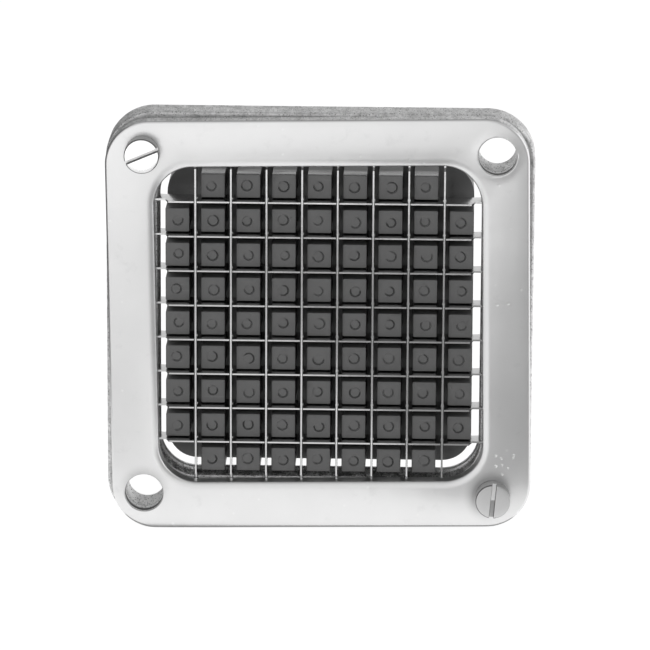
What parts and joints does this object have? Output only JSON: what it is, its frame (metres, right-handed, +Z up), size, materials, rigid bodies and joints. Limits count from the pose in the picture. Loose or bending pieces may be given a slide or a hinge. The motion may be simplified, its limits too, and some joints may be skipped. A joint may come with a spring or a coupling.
{
  "type": "french fry cutter blade head",
  "caption": "Blade head of a french fry cutter: two clamped cast frames hold a square grid of thin steel blades, with a moulded finger block that slides through it from behind.",
  "frame": {"origin": "under the middle of the object's box, on the surface that the rear frame's lower edge stands on", "axes": "+X to the right seen from the front, +Y from the front face to the pusher block's back, +Z up"},
  "size_m": [0.115, 0.031, 0.1149],
  "materials": {
    "polished_cast_aluminium": "cast, tumbled and softly polished",
    "rough_cast_aluminium": "rough sand casting",
    "blade_steel": "bright rolled stainless strip",
    "screw_steel": "bright turned steel",
    "black_plastic": "injection moulded, satin",
    "insert_brass": "turned"
  },
  "bodies": {
    "blade_head": {"front_frame": "polished_cast_aluminium", "rear_frame": "rough_cast_aluminium", "vertical_blade_1": "blade_steel", "vertical_blade_2": "blade_steel", "vertical_blade_3": "blade_steel", "vertical_blade_4": "blade_steel", "vertical_blade_5": "blade_steel", "vertical_blade_6": "blade_steel", "vertical_blade_7": "blade_steel", "vertical_blade_8": "blade_steel", "horizontal_blade_1": "blade_steel", "horizontal_blade_2": "blade_steel", "horizontal_blade_3": "blade_steel", "horizontal_blade_4": "blade_steel", "horizontal_blade_5": "blade_steel", "horizontal_blade_6": "blade_steel", "horizontal_blade_7": "blade_steel", "horizontal_blade_8": "blade_steel", "clamp_screw_upper_left": "screw_steel", "clamp_screw_lower_right": "screw_steel"},
    "pusher": {"pusher_base": "black_plastic", "finger_row_1": "black_plastic", "finger_row_2": "black_plastic", "finger_row_3": "black_plastic", "finger_row_4": "black_plastic", "finger_row_5": "black_plastic", "finger_row_6": "black_plastic", "finger_row_7": "black_plastic", "finger_row_8": "black_plastic", "finger_row_9": "black_plastic", "pusher_insert_upper_left": "insert_brass", "pusher_insert_upper_right": "insert_brass", "pusher_insert_lower_left": "insert_brass", "pusher_insert_lower_right": "insert_brass"}
  },
  "joints": [
    {"name": "pusher_slide", "type": "slide", "parent": "blade_head", "child": "pusher", "axis": [0, -1, 0], "range_m": [-0.11, 0.0065]}
  ]
}
